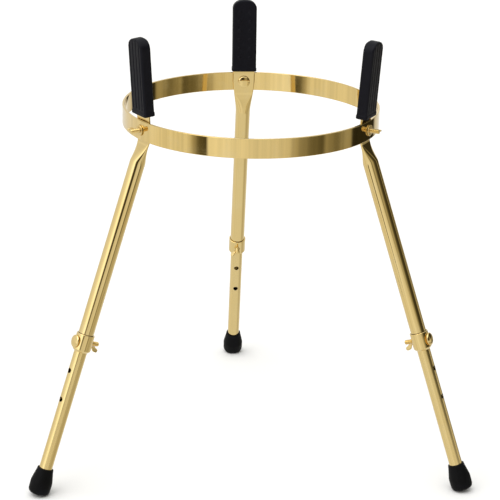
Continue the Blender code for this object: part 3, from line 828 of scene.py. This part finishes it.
def grip_row(height):
    """One level of the grip: a rounded rectangle, narrowed to a dome at the top."""
    above = max(0.0, height - (GRIP_LENGTH - GRIP_CROWN)) / GRIP_CROWN
    edge = GRIP_CROWN_EDGE
    top = max(0.0, height - (GRIP_LENGTH - edge)) / edge
    lip = GRIP_LIP_PROUD * (1 - smooth(height, GRIP_LIP_HEIGHT - 0.6 * MM, GRIP_LIP_HEIGHT + 0.6 * MM))
    foot = GRIP_FOOT_ROUND * (1 - smooth(height, 0.0, 0.8 * MM)) ** 2
    grow = 2 * (lip - foot)
    width = (GRIP_WIDTH + grow) * math.sqrt(max(1 - above**2, 0.0))
    depth = GRIP_THICKNESS + grow - 2 * edge * (1 - math.sqrt(max(1 - top**2, 0.0)))
    row = []
    outline = rounded_rectangle(width, depth, GRIP_CORNER, GRIP_LONG_STEPS, GRIP_SHORT_STEPS)
    for across, through in outline:
        if through > depth / 2 - 0.01 * MM:
            through -= grip_groove(across, height)
        elif through < 0.01 * MM - depth / 2:
            through -= grip_pip(across, height)
        row.append((through, -across, height))
    return row


def pocket_row(height):
    """One level of the pocket for the strap, with as many points as the outside has."""
    size = (STRAP_WIDTH + 2 * CLEARANCE, STRAP_THICKNESS + 2 * CLEARANCE)
    outline = rounded_rectangle(*size, GRIP_POCKET_CORNER, GRIP_LONG_STEPS, GRIP_SHORT_STEPS)
    return [(through, -across, height) for across, through in outline]


def grip_heights():
    """Levels up the grip: close at its foot, even up its sides, and closing in over the crown."""
    straight = GRIP_LENGTH - GRIP_CROWN
    sides_from = 1.5 * MM
    heights = [level * MM for level in GRIP_FOOT_LEVELS]
    for row in range(GRIP_SIDE_ROWS + 1):
        heights.append(sides_from + (straight - sides_from) * row / GRIP_SIDE_ROWS)
    for row in range(1, GRIP_CROWN_ROWS + 1):
        heights.append(straight + GRIP_CROWN * math.sin(math.pi / 2 * row / GRIP_CROWN_ROWS))
    # The last row stops just short of the top, where it would shrink to a point.
    heights[-1] = GRIP_LENGTH - 0.004 * MM
    return heights


def build_grip(side, pivot):
    hoop_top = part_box("ring_hoop")[1].z - pivot.translation.z
    above = GRIP_ABOVE_HOOP[side]
    seat = Matrix.Translation((above * math.tan(GRIP_LEAN), 0, hoop_top + above))
    place = pivot @ seat @ Matrix.Rotation(GRIP_LEAN, 4, "Y")
    rows = [pocket_row(height) for height in (GRIP_POCKET_DEPTH, 0.5 * MM, 0.0)]
    rows += [grip_row(height) for height in grip_heights()]
    grip = loft(side + "_rubber_grip", rows, place)
    finish_piece(grip, side + "_grip", side + "_leg", materials["grip"], 60)


# ---- Fasteners ----
def bolt_row(height, radius, square=False, thread=0.0):
    """One level of a bolt: round, square on the neck, or cut by a helical thread."""
    row = []
    for index in range(BOLT_SEGMENTS):
        angle = math.tau * index / BOLT_SEGMENTS
        reach = radius
        if square:
            to_side = radius / max(abs(math.cos(angle)), abs(math.sin(angle)))
            reach = min(to_side, radius * BOLT_NECK_CORNER)
        if thread:
            phase = (height / THREAD_PITCH + index / BOLT_SEGMENTS) % 1.0
            reach -= thread * smooth(1 - abs(2 * phase - 1), 0.15, 0.85)
        row.append((reach * math.cos(angle), reach * math.sin(angle), height))
    return row


def bolt_head_rows():
    """The domed head, from its crown down to its underside at Z = 0."""
    head = BOLT_HEAD_DIAMETER / 2
    dome = BOLT_HEAD_HEIGHT - BOLT_HEAD_RIM
    rows = [bolt_row(BOLT_HEAD_HEIGHT, 0.0)]
    for step in range(1, BOLT_HEAD_ROWS + 1):
        angle = math.pi / 2 * (1 - step / BOLT_HEAD_ROWS)
        rows.append(bolt_row(BOLT_HEAD_RIM + dome * math.sin(angle), head * math.cos(angle)))
    rows.append(bolt_row(BOLT_HEAD_EDGE, head))
    rows.append(bolt_row(0.0, head - BOLT_HEAD_EDGE))
    return rows


def bolt_neck_rows(neck_length):
    """The square neck under the head, or only the round shank's start where there is no neck."""
    shank = BOLT_DIAMETER / 2
    if not neck_length:
        return [bolt_row(0.0, shank)]
    return [
        bolt_row(0.0, shank, square=True),
        bolt_row(-neck_length, shank, square=True),
        bolt_row(-neck_length - 0.2 * MM, shank),
    ]


def bolt_thread_rows(length, thread_length):
    """The thread, cut deeper over its first turn, and the chamfered end."""
    shank = BOLT_DIAMETER / 2
    chamfer = BOLT_END_CHAMFER
    thread_from = thread_length - length
    levels = math.ceil((thread_length - chamfer) / (THREAD_PITCH / THREAD_ROWS_PER_TURN))
    rows = []
    for level in range(levels + 1):
        height = thread_from - (thread_length - chamfer) * level / levels
        depth = THREAD_DEPTH * smooth(level, 0, THREAD_ROWS_PER_TURN)
        rows.append(bolt_row(height, shank, thread=depth))
    rows.append(bolt_row(chamfer / 2 - length, shank - THREAD_DEPTH))
    rows.append(bolt_row(-length, shank - THREAD_DEPTH - chamfer / 2))
    rows.append(bolt_row(-length, 0.0))
    return rows


def build_bolt(name, node, place, length, neck_length, thread_length):
    """A carriage bolt: domed head above Z = 0, and a threaded shank below it."""
    rows = bolt_head_rows() + bolt_neck_rows(neck_length) + bolt_thread_rows(length, thread_length)
    bolt = loft(name, rows, place)
    finish_piece(bolt, node, node.split("_")[0] + "_leg", materials["fastener"], 50)


def build_ring_bolt(side, pivot):
    node = side + "_ring_bolt"
    length_out = local_box(node, pivot)[1].x
    seat = STRAP_THICKNESS / 2 + CLEARANCE
    place = pivot @ Matrix.Translation((-seat, 0, 0)) @ Matrix.Rotation(-math.pi / 2, 4, "Y")
    build_bolt(side + "_hoop_bolt", node, place, length_out + seat, STRAP_THICKNESS, RING_BOLT_THREAD)


def build_height_bolt(side, leg):
    node = side + "_height_bolt"
    low, high = local_box(node, leg)
    seat = high.x - BOLT_HEAD_HEIGHT
    place = leg @ cross_place(bolt_height_on(side, leg), seat)
    build_bolt(side + "_leg_bolt", node, place, seat - low.x, 0.0, HEIGHT_BOLT_THREAD)


def build_washer(side, pivot):
    low, high = local_box(side + "_ring_washer", pivot)
    outer = (high.y - low.y) / 2
    inner = BOLT_DIAMETER / 2 + CLEARANCE
    thickness = high.x - low.x
    corners = [(inner, thickness, 0.25), (outer, thickness, 0.5), (outer, 0.0, 0.25), (inner, 0.0, 0.2)]
    profile = filleted([(x, y, radius * MM) for x, y, radius in corners], closed=True, steps=4)
    place = pivot @ Matrix.Translation((low.x, 0, 0)) @ Matrix.Rotation(math.pi / 2, 4, "Y")
    washer = turned(side + "_hoop_washer", profile, TUBE_SEGMENTS, place, closed=True)
    node = side + "_ring_washer"
    finish_piece(washer, node, side + "_leg", materials["washer"])


def wing_corners(span, rise):
    """One wing, (across, up, corner radius), from its root low on the hub to its round end."""
    reach = span / 2
    return [
        (2.0 * MM, 1.2 * MM, 0),
        (4.6 * MM, 1.4 * MM, 1.0 * MM),
        (reach - 1.6 * MM, rise - 7.2 * MM, 3.0 * MM),
        (reach, rise - 1.2 * MM, 2.8 * MM),
        (reach - 4.6 * MM, rise, 2.6 * MM),
        (4.2 * MM, NUT_HUB_HEIGHT - 1.6 * MM, 2.5 * MM),
        (2.0 * MM, NUT_HUB_HEIGHT - 1.2 * MM, 0),
    ]


def add_wing(nut, direction, span, rise):
    """Fuses one flat wing to the hub; direction is 1 or -1, along X."""
    wing = bmesh.new()
    outline = filleted(wing_corners(span, rise), steps=6)
    front = [wing.verts.new((direction * x, -WING_THICKNESS / 2, y)) for x, y in outline]
    face = wing.faces.new(front)
    grown = bmesh.ops.extrude_face_region(wing, geom=[face])
    moved = [item for item in grown["geom"] if isinstance(item, bmesh.types.BMVert)]
    bmesh.ops.translate(wing, vec=(0, WING_THICKNESS, 0), verts=moved)
    combine(nut, wing, "UNION")


def soften(nut):
    """Remeshes the hub and wings as one skin and smooths it, so that their roots flow together."""
    fused = nut.modifiers.new("fuse", "REMESH")
    fused.mode = "VOXEL"
    fused.voxel_size = NUT_FUSED_GRAIN
    soft = nut.modifiers.new("soften", "SMOOTH")
    soft.factor = 0.5
    soft.iterations = 6
    apply_modifiers(nut)


def build_wing_nut(name, node, turn_joint):
    """A cast nut: a turned hub, two wings and the bolt's bore."""
    place = nut_place(node, turn_joint)
    low, high = local_box(node, place)
    base = NUT_BASE_DIAMETER / 2
    top = NUT_TOP_DIAMETER / 2
    corners = [
        (0.0, NUT_HUB_HEIGHT, 0),
        (top, NUT_HUB_HEIGHT, 0.9 * MM),
        (base, NUT_FOOT_HEIGHT, 0.8 * MM),
        (base, 0.0, 0.4 * MM),
        (0.0, 0.0, 0),
    ]
    nut = turned(name, filleted(corners, steps=4), BOLT_SEGMENTS, place)
    for direction in (1, -1):
        add_wing(nut, direction, high.x - low.x, high.z)
    bore = bmesh.new()
    middle = Matrix.Translation((0, 0, NUT_HUB_HEIGHT / 2))
    cylinder(bore, middle, BOLT_DIAMETER + 2 * CLEARANCE, 3 * NUT_HUB_HEIGHT, BOLT_SEGMENTS)
    combine(nut, bore, "DIFFERENCE")
    soften(nut)
    body = turn_joint.replace("_turn", "")
    finish_piece(nut, node, body, materials["fastener"], 80)


# ---- Setting: floor, studio light and camera ----
def build_floor():
    bm = bmesh.new()
    bmesh.ops.create_grid(bm, x_segments=8, y_segments=8, size=14.0)
    floor = new_piece("floor", bm, Matrix.Identity(4))
    material, nodes, shader = new_material("pale_floor")
    place = nodes.add("TexCoord").outputs["Object"]
    tone = nodes.noise(place, 3.0, 3.0)
    nodes.feed(shader.inputs["Base Color"], nodes.mix(tone, FLOOR_PALE, FLOOR_PALER))
    shader.inputs["Roughness"].default_value = 0.9
    shader.inputs["Specular IOR Level"].default_value = 0.1
    floor.data.materials.append(material)
    floor.visible_glossy = False


# The studio round the object, from low to high. Each band is a row of (degrees from the camera's
# side, to the right; brightness). Dark stretches are flags, which draw the crisp dark lines on the
# polished gold.
STUDIO_UNDER = (
    (-180, 0.84), (-70, 0.88), (-45, 0.94), (-15, 0.92), (10, 0.84), (32, 0.82), (44, 0.66),
    (74, 0.52), (95, 0.58), (180, 0.84),
)
STUDIO_LOW = (
    (-180, 0.86), (-120, 0.84), (-100, 0.88), (-64, 0.90), (-57, 0.86), (-52, 0.50), (-46, 0.14),
    (-39, 0.08), (-37, 1.10), (-24, 1.04), (-12, 0.90), (3, 0.86), (22, 0.82), (34, 0.70),
    (41, 0.42), (56, 0.18), (67, 0.12), (70, 0.34), (82, 0.20), (94, 0.40), (100, 0.34),
    (103, 0.03), (141, 0.03), (147, 0.72), (180, 0.86),
)
STUDIO_LEVEL = (
    (-180, 0.84), (-75, 0.80), (-60, 0.84), (-45, 1.02), (-22, 1.00), (-8, 0.86), (8, 0.80),
    (20, 0.82), (32, 0.86), (60, 0.84), (112, 0.70), (116, 0.30), (145, 0.25), (152, 0.80),
    (180, 0.84),
)
STUDIO_HIGH = (
    (-180, 0.86), (-130, 0.82), (-84, 0.96), (-60, 1.15), (-46, 1.5), (-29, 1.55), (-22, 0.60),
    (-15, 0.06), (4, 0.05), (10, 0.24), (24, 0.50), (36, 0.44), (46, 0.16), (60, 0.06), (90, 0.06),
    (97, 0.34), (103, 0.34), (107, 0.04), (135, 0.04), (145, 0.70), (180, 0.86),
)


# Each band fades in over the one below it, between two heights of the direction's Z.
STUDIO_BANDS = (
    (STUDIO_UNDER, -0.77, -0.64),
    (STUDIO_LOW, -0.325, -0.30),
    (STUDIO_LEVEL, -0.245, -0.225),
    (STUDIO_HIGH, -0.017, 0.05),
)
STUDIO_CEILING_FROM = (0.50, 0.67)
STUDIO_FLOOR_GLOW = (0.84, 0.835, 0.81, 1.0)
STUDIO_CEILING = (1.05, 1.05, 1.03, 1.0)
STUDIO_FLAG_WARMTH = 0.55
STUDIO_STREAKS = 90.0
STUDIO_STREAK_RANGE = (0.89, 1.08)


def studio_band(nodes, turn, stops):
    """A colour ramp round the horizon; its dark stretches are warm brown."""
    ramp = nodes.tree.nodes.new("ShaderNodeValToRGB")
    elements = ramp.color_ramp.elements
    ends = {0: elements[0], len(stops) - 1: elements[1]}
    for index, (azimuth, level) in enumerate(stops):
        element = ends.get(index) or elements.new((azimuth + 180) / 360)
        warmth = STUDIO_FLAG_WARMTH * (1 - min(level, 1.0))
        element.color = (level, level * (1 - warmth / 4), level * (1 - warmth), 1.0)
    nodes.feed(ramp.inputs["Fac"], turn)
    return ramp.outputs["Color"]


def studio_turn(nodes, across, forward):
    """How far round the studio a direction points, 0 to 1, with the camera's side at the middle."""
    angle = nodes.math("ARCTAN2", across, nodes.math("MULTIPLY", forward, -1.0))
    turn = nodes.math("ADD", nodes.math("DIVIDE", angle, math.tau), 0.5 + CAMERA_AZIMUTH / math.tau)
    return nodes.math("FRACT", turn)


def studio_colour(nodes, turn, up):
    """The bands laid over each other from the floor's glow to the ceiling, and faintly streaked."""
    room = STUDIO_FLOOR_GLOW
    for stops, start, end in STUDIO_BANDS:
        room = nodes.mix(nodes.spread(up, start, end, 0.0, 1.0), room, studio_band(nodes, turn, stops))
    start, end = STUDIO_CEILING_FROM
    room = nodes.mix(nodes.spread(up, start, end, 0.0, 1.0), room, STUDIO_CEILING)
    across = nodes.math("MULTIPLY", turn, STUDIO_STREAKS)
    fine = nodes.add("CombineXYZ", X=across, Y=up, Z=0.0).outputs[0]
    streaks = nodes.spread(nodes.noise(fine, 1.0, 3.0, 0.6), 0.3, 0.7, *STUDIO_STREAK_RANGE)
    return nodes.mix(1.0, room, streaks, "MULTIPLY")


def build_world():
    """A white studio with dark flags. The camera itself sees plain white, like the floor."""
    world = bpy.data.worlds.new("studio")
    bpy.context.scene.world = world
    world.use_nodes = True
    tree = world.node_tree
    tree.nodes.clear()
    nodes = Nodes(tree)
    direction = nodes.add("TexCoord").outputs["Generated"]
    parts = nodes.add("SeparateXYZ", Vector=direction).outputs
    room = studio_colour(nodes, studio_turn(nodes, parts["X"], parts["Y"]), parts["Z"])

    seen = nodes.add("Background", Color=room, Strength=1.0)
    plain = nodes.add("Background", Color=(1.0, 1.0, 1.0, 1.0), Strength=1.0)
    camera_ray = nodes.add("LightPath").outputs["Is Camera Ray"]
    chosen = nodes.add("MixShader", Fac=camera_ray)
    tree.links.new(seen.outputs[0], chosen.inputs[1])
    tree.links.new(plain.outputs[0], chosen.inputs[2])
    output = tree.nodes.new("ShaderNodeOutputWorld")
    tree.links.new(chosen.outputs[0], output.inputs["Surface"])


def build_lights():
    sun = bpy.data.lights.new("soft_overhead", "SUN")
    sun.energy = 1.15
    sun.angle = math.radians(60)
    holder = bpy.data.objects.new("soft_overhead", sun)
    holder.rotation_euler = (math.radians(14), math.radians(-18), 0)
    bpy.context.scene.collection.objects.link(holder)


def build_camera():
    low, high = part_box("ring_hoop")
    axis = Vector(((low.x + high.x) / 2, (low.y + high.y) / 2, CAMERA_AIM_HEIGHT))
    level = math.cos(CAMERA_ELEVATION)
    back_x = -math.sin(CAMERA_AZIMUTH) * level
    back_y = -math.cos(CAMERA_AZIMUTH) * level
    back = Vector((back_x, back_y, math.sin(CAMERA_ELEVATION)))
    right = Vector((math.cos(CAMERA_AZIMUTH), -math.sin(CAMERA_AZIMUTH), 0))
    data = bpy.data.cameras.new("camera")
    data.lens = CAMERA_LENS
    data.sensor_width = 36.0
    data.clip_end = 60.0
    camera = bpy.data.objects.new("camera", data)
    bpy.context.scene.collection.objects.link(camera)
    upright = Matrix((right, back.cross(right), back)).transposed().to_4x4()
    place = Matrix.Translation(axis + right * CAMERA_AIM_RIGHT + back * CAMERA_DISTANCE)
    camera.matrix_world = place @ upright @ Matrix.Rotation(CAMERA_ROLL, 4, "Z")
    bpy.context.scene.camera = camera


# ---- The stand ----
def build_side(side):
    pivot = pivot_place(side)
    leg = leg_place(side)
    build_upper_leg(side, pivot, leg)
    build_collar(side, leg)
    build_sliding_tube(side, leg)
    build_boot(side, leg)
    build_grip(side, pivot)
    build_ring_bolt(side, pivot)
    build_washer(side, pivot)
    build_wing_nut(side + "_hoop_wing_nut", side + "_ring_wing_nut", side + "_ring_nut_turn")
    build_height_bolt(side, leg)
    build_wing_nut(side + "_leg_wing_nut", side + "_height_wing_nut", side + "_height_nut_turn")


build_camera()
build_world()
build_lights()
build_floor()
bpy.context.scene.view_settings.view_transform = "Standard"
materials = make_materials()
build_hoop()
for side_name in SIDES:
    build_side(side_name)
